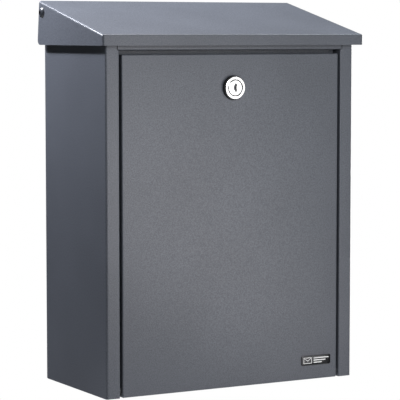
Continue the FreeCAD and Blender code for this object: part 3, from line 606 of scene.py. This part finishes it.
def makeLockHead():
    # The head's section: a rounded outer edge, a flat ring, a slope down to the gap and the face's seat.
    # The threaded barrel has rounded ridges, a cosine of the distance along it, and is cut flat at both
    # sides. The lug at its end is a short arc of square section, closed at both ends.
    low, high = boxMm("lock_housing")
    axis = jointMm("lock_turn")
    plugLow, plugHigh = boxMm("lock_plug")
    outer, front = (high[0] - low[0]) / 2, low[1]
    seat = boxMm("lock_gasket")[0][1]
    lugInner, lugHeight = lock["lugMm"]
    end = high[1] - lugHeight
    face = (plugHigh[0] - plugLow[0]) / 2 + lock["gapMm"]
    slopeWidth, slopeDepth = lock["bevelMm"]
    rim, (barrel, flat) = lock["rimMm"], lock["barrelMm"]
    along = np.arange(seat + 0.3, end - 0.5, lock["threadPitchMm"] / 12)
    ridges = barrel - 0.2 * (1 - np.cos(2 * np.pi * (along - seat - 0.3) / lock["threadPitchMm"]))
    profile = [(face, front + lock["recessMm"]), (face, front + slopeDepth),
               (face + slopeWidth, front + 0.05), (face + slopeWidth + 0.1, front), (outer - rim, front)]
    profile += arcProfile(outer - rim, front + rim, rim, 270, 360, 9)
    profile += [(outer, seat - 0.1), (outer - 0.1, seat), (barrel, seat)] + list(zip(ridges, along))
    profile += [(barrel - 0.6, end), (lock["boreMm"], end), (lock["boreMm"], front + lock["recessMm"]),
                (face, front + lock["recessMm"])]
    grid = turnedGrid(profile, (axis[0], 0, axis[2]), 144)
    behind = grid[..., 1] > seat + 0.05
    grid[..., 0] = np.where(behind, np.clip(grid[..., 0], -flat, flat), grid[..., 0])
    points, faces = [], []
    addGrid(points, faces, grid, closeRows=True)
    turn = np.radians(np.linspace(-lock["lugDeg"], lock["lugDeg"], 13))
    turn = np.concatenate([turn[:1], turn, turn[-1:]])[:, None]
    r = np.array([lugInner, barrel - 0.3, barrel - 0.3, lugInner])
    y = np.array([-0.3, -0.3, lugHeight, lugHeight]) + end
    lug = np.stack([np.clip(r * np.cos(turn), -flat, flat), np.broadcast_to(y, (len(turn), 4)),
                    axis[2] + r * np.sin(turn)], axis=-1)
    lug[[0, -1]] = lug[[0, -1]].mean(axis=1, keepdims=True)
    addGrid(points, faces, lug, closeColumns=True)
    piece = makePiece("lockHead", np.vstack(points), np.vstack(faces))
    settle(piece, 40)
    dress(piece, polishedNickel, "door", "nickel", "lock_housing")


def makeLockFace():
    # The turning core as a grid of (place along its section, angle). Each row is a closed outline: the
    # keyhole, the shutter's room behind it, circles, and the square end. An outline's reach at an angle
    # is ((|cos| / half width)^n + (|sin| / half height)^n)^(-1/n); n = 2 gives a circle. The keyhole
    # bows to one side by a cosine of the height.
    low, high = boxMm("lock_plug")
    axis = jointMm("lock_turn")
    rim, front = (high[0] - low[0]) / 2, low[1]
    shutterLow, shutterHigh = boxMm("keyhole_shutter")
    coreEnd = boxMm("lock_housing")[1][1] - 1.0
    core, square = lock["plugMm"]
    angles = np.linspace(0, 2 * np.pi, 192, endpoint=False)
    c, s = np.cos(angles), np.sin(angles)

    def outline(halfWidth, halfHeight, power, shift=0.0, wind=0.0):
        reach = ((np.abs(c) / halfWidth) ** power + (np.abs(s) / halfHeight) ** power) ** (-1 / power)
        bend = -wind * np.cos(np.pi * reach * s / halfHeight)
        return np.column_stack([reach * c + shift + bend, reach * s])

    width, height = lock["keyholeMm"]
    keyhole = outline(width / 2, height / 2, 2.4, wind=lock["wardMm"])
    middle = (shutterLow[0] + shutterHigh[0]) / 2
    swing = shutterHigh[0] - shutterLow[0]
    room = outline(swing / 2 + 0.25, (shutterHigh[2] - shutterLow[2]) / 2 + 0.15, 16, shift=middle)
    circle = np.column_stack([c, s])
    roomEnd = shutterLow[1] + swing + 0.6
    rows = [(keyhole * 0, roomEnd + 3), (keyhole, roomEnd + 3), (keyhole, roomEnd), (room, roomEnd),
            (room, front + 0.9), (keyhole, front + 0.9), (keyhole, front + 0.1)]
    across = rim - lock["faceEdgeMm"]
    for t in (0.02, 0.2, 0.4, 0.6, 0.8, 0.95):
        rows.append((keyhole + (circle * across - keyhole) * t, front))
    edge = lock["faceEdgeMm"]
    for r, t in arcProfile(across, edge, edge, 270, 360, 8):
        rows.append((circle * r, front + t))
    back = front + lock["recessMm"] - 0.1
    rows += [(circle * rim, back), (circle * core, back), (circle * core, coreEnd)]
    drive = outline(square, square, 60)
    rows += [(drive, coreEnd), (drive, high[1]), (drive * 0, high[1])]
    grid = np.stack([np.column_stack([axis[0] + flat[:, 0], np.full(len(flat), y), axis[2] + flat[:, 1]])
                     for flat, y in rows])
    piece = makePiece("lockFace", grid.reshape(-1, 3), gridFaces(*grid.shape[:2], closeColumns=True))
    settle(piece, 40)
    dress(piece, polishedNickel, "lock", "nickel", "lock_plug")


def makeGapShadeRing():
    # A dark ring that fills the gap round the turning face: painted shade, standing in for the shade that falls in
    # that gap. Its section has a half-round front.
    low, high = boxMm("lock_plug")
    axis = jointMm("lock_turn")
    half = (lock["gapMm"] - 0.04) / 2
    middle = (high[0] - low[0]) / 2 + lock["gapMm"] / 2
    front = low[1] + lock["shadeRingDepthMm"]
    foot = low[1] + lock["recessMm"] - 0.05
    profile = arcProfile(middle, front + half, half, 180, 360, 9)
    profile += [(middle + half, foot), (middle - half, foot)]
    points, faces = [], []
    addGrid(points, faces, turnedGrid(profile, (axis[0], 0, axis[2]), 144), closeRows=True, closeColumns=True)
    piece = makePiece("lockGapShadeRing", np.vstack(points), np.vstack(faces))
    settle(piece, 40)
    dress(piece, gasketRubber, "door", "gasket_rubber")


# Badge

badge = {
    "cornerMm": 1.6,
    "domeMm": 0.35,             # clear resin dome over the print
    "lineMm": 0.6,              # printed line's width
    "addressLineMm": 1.15,
    "envelopeMm": (10.0, 6.0),
    "marginMm": 2.6,
}


def makeBadge():
    # A slab whose face is domed: the outline is a rounded rectangle scaled towards its centre by k, and
    # the face rises by the dome's height times (1 - k^6).
    low, high = boxMm("badge_plate")
    centre = (low + high) / 2
    halfA, halfB = (high[0] - low[0]) / 2, (high[2] - low[2]) / 2
    corner = badge["cornerMm"]
    outline = roundedPath([(0, -halfB), (halfA, -halfB), (halfA, halfB), (-halfA, halfB), (-halfA, -halfB),
                           (0, -halfB)], corner, 8)[:-1]
    k = np.array([1.0, 1.0, 0.995, 0.97, 0.93, 0.85, 0.7, 0.5, 0.25, 0.0])
    y = low[1] + badge["domeMm"] * k ** 6
    y[0] = high[1]
    scaled = outline[None] * k[:, None, None]
    x, z = centre[0] + scaled[..., 0], centre[2] + scaled[..., 1]
    grid = np.stack([x, np.broadcast_to(y[:, None], x.shape), z], axis=-1)
    points, faces = [], []
    addGrid(points, faces, grid, closeColumns=True)
    back = np.stack([x[[0, -1]], np.full((2, x.shape[1]), high[1]), z[[0, -1]]], axis=-1)
    addGrid(points, faces, back, closeColumns=True)
    piece = makePiece("badgeDome", np.vstack(points), np.vstack(faces))
    settle(piece, 50)
    dress(piece, badgeGloss, "door", "badge", "badge_plate")


def ribbon(points, width, closed=False):
    # a flat band of one width along a path, mitred at its turns, as a grid of two rows
    points = np.array(points, float)
    step = np.roll(points, -1, axis=0) - points
    step /= np.maximum(np.linalg.norm(step, axis=1), 1e-9)[:, None]
    before = np.roll(step, 1, axis=0)
    if not closed:
        step[-1] = before[-1]
        before[0] = step[0]
    normal = np.column_stack([-step[:, 1], step[:, 0]])
    normalBefore = np.column_stack([-before[:, 1], before[:, 0]])
    mitre = normal + normalBefore
    mitre /= np.maximum((mitre * normal).sum(axis=1), 0.2)[:, None]
    return np.stack([points - mitre * width / 2, points + mitre * width / 2])


def makeBadgePrint():
    # An envelope and three address lines, printed as flat bands on the face.
    low, high = boxMm("badge_plate")
    centre = (low + high) / 2
    halfA = (high[0] - low[0]) / 2 - badge["marginMm"]
    width, height = badge["envelopeMm"][0] / 2, badge["envelopeMm"][1] / 2
    left = -halfA + width
    band = badge["lineMm"]
    envelope = [(left - width, -height), (left + width, -height), (left + width, height),
                (left - width, height)]
    flap = [(left - width, height), (left, -0.4), (left + width, height)]
    start = left + width + badge["marginMm"]
    lines = [[(start, height * row), (halfA * reach, height * row)]
             for row, reach in ((0.8, 1.0), (0, 0.75), (-0.8, 0.45))]
    shapes = [(envelope, band, True), (flap, band, False)]
    shapes += [(line, badge["addressLineMm"], False) for line in lines]
    points, faces = [], []
    for path, bandWidth, closed in shapes:
        rows = ribbon(path, bandWidth, closed)
        x, z = centre[0] + rows[..., 0], centre[2] + rows[..., 1]
        y = np.full_like(x, low[1] - 0.02)
        addGrid(points, faces, np.stack([x, y, z], axis=-1), closeColumns=closed)
    piece = makePiece("badgePrint", np.vstack(points), np.vstack(faces), facing=(0, -1, 0), weldMm=0.0005)
    thicken(piece, 0.02)
    settle(piece)
    dress(piece, badgeInk, "door", "badge")


# Room, light and camera

studio = {
    "floorDropMm": 300.0,       # below the box's foot
    "floorRadiusMm": 1150.0,
    "floorHex": "#e9e9e7",
    "backdrop": 1.0,            # brightness of what shows behind the object
    "skyLight": 0.01,           # faint light from all round
}


def makeFloor():
    # Pale matt paper: nearly white, with a barely visible mottle.
    material, shader = startMaterial("palePaperFloor", Roughness=0.9)
    place = addNode(material, "ShaderNodeTexCoord").outputs["Object"]
    mottle = addNode(material, "ShaderNodeTexNoise", Vector=place, Scale=perMetre(120), Detail=3.0)
    tone = addNode(material, "ShaderNodeMix", {"data_type": "RGBA"}, _0=mottle.outputs["Fac"],
                   _6=linear(studio["floorHex"]), _7=linear("#efefed"))
    feed(material, tone.outputs[2], shader, "Base Color")
    z = cadBox[0][2] / mm - studio["floorDropMm"]
    angles, radii = np.meshgrid(np.linspace(0, 2 * np.pi, 128, endpoint=False),
                                np.linspace(0, studio["floorRadiusMm"], 6), indexing="ij")
    grid = np.stack([radii * np.cos(angles), radii * np.sin(angles), np.full_like(angles, z)], axis=-1)
    piece = makePiece("floor", grid.reshape(-1, 3), gridFaces(128, 6, closeRows=True), facing=(0, 0, 1))
    piece.data.materials.append(material)


def makeSky():
    # A faint even light from all round, and plain white where the camera looks past the object.
    world = bpy.data.worlds.new("softRoom")
    bpy.context.scene.world = world
    world.use_nodes = True
    background = world.node_tree.nodes["Background"]
    background.inputs["Color"].default_value = (1.0, 1.0, 1.0, 1.0)
    seen = addNode(world, "ShaderNodeLightPath").outputs["Is Camera Ray"]
    strength = addNode(world, "ShaderNodeMix", _0=seen, _2=studio["skyLight"], _3=studio["backdrop"])
    world.node_tree.links.new(strength.outputs[0], background.inputs["Strength"])


def addLight(name, place, target, size, watts, tint):
    data = bpy.data.lights.new(name, "AREA")
    data.color = tint
    data.shape = "DISK"
    data.size = size
    data.energy = watts
    lamp = bpy.data.objects.new(name, data)
    lamp.visible_camera = False
    bpy.context.collection.objects.link(lamp)
    lamp.location = place
    aim = np.array(target) - np.array(place)
    flat = math.hypot(aim[0], aim[1])
    lamp.rotation_euler = (math.atan2(flat, -aim[2]), 0, math.atan2(aim[1], aim[0]) - math.pi / 2)


lamps = {
    "rearLeftAbove": {"place": (-0.45, 0.13, 0.53), "target": (-0.15, -0.05, 0.1), "size": 0.06,
                      "watts": 5.6, "tint": (0.98, 1.01, 1.1)},
    "rimFromRearLeft": {"place": (-0.42, 0.32, 0.58), "target": (-0.15, -0.05, 0.18), "size": 0.07,
                        "watts": 2.4, "tint": (0.98, 1.0, 1.1)},
    "aboveRight": {"place": (0.6, -0.12, 1.0), "target": (0.0, -0.1, 0.2), "size": 0.4,
                   "watts": 6.4, "tint": (0.9, 0.99, 1.03)},
    "overhead": {"place": (0.0, -0.05, 0.8), "target": (0.0, -0.08, 0.2), "size": 0.4,
                 "watts": 7.5, "tint": (1.0, 0.99, 1.04)},
    "frontSheen": {"place": (0.24, -0.9, -0.03), "target": (-0.08, -0.15, 0.04), "size": 0.4,
                   "watts": 1.15, "tint": (1.04, 0.985, 1.02)},
    "frontNear": {"place": (0.25, -0.7, 0.1), "target": (-0.05, -0.15, 0.06), "size": 0.55,
                  "watts": 0.95, "tint": (0.95, 0.985, 1.02)},
    "frontAboveLeft": {"place": (-0.16, -0.9, 0.4), "target": (0.0, -0.15, 0.0), "size": 0.4,
                       "watts": 3.5, "tint": (0.95, 0.985, 1.04)},
    "frontLowRight": {"place": (0.4, -0.75, -0.2), "target": (0.08, -0.15, -0.12), "size": 0.2,
                      "watts": 0.4, "tint": (1.01, 0.985, 1.02)},
    "rearRight": {"place": (0.9, 0.75, 0.0), "target": (0.05, 0.0, 0.0), "size": 0.6,
                  "watts": 9.0, "tint": (1.0, 1.0, 1.0)},
}


def makeLights():
    for name, lamp in lamps.items():
        addLight(name, **lamp)


camera = {"lensMm": 176.2, "place": (-1.0388, -1.9358, 0.1968), "downDeg": 4.89, "turnDeg": -29.252}


def makeCamera():
    data = bpy.data.cameras.new("camera")
    data.lens = camera["lensMm"]
    data.sensor_width = 36
    data.clip_start = 0.05
    data.clip_end = 60
    view = bpy.data.objects.new("camera", data)
    bpy.context.collection.objects.link(view)
    view.location = camera["place"]
    view.rotation_euler = (math.radians(90 - camera["downDeg"]), 0, math.radians(camera["turnDeg"]))
    bpy.context.scene.camera = view
    bpy.context.scene.view_settings.view_transform = "Standard"
    bpy.context.scene.view_settings.look = "None"


finishNodes()
makeLid()
makeDoor()
print("lid and door made")
makeSide("sideShellRight", "side_panel_right", 1)
makeSide("sideShellLeft", "side_panel_left", -1)
makeSeamTab("seamTabRight", 1)
makeSeamTab("seamTabLeft", -1)
print("casing sides made")
makeLockHead()
makeLockFace()
makeGapShadeRing()
makeBadge()
makeBadgePrint()
print("lock and badge made")
makeFloor()
makeSky()
makeLights()
makeCamera()
print("room, light and camera made")
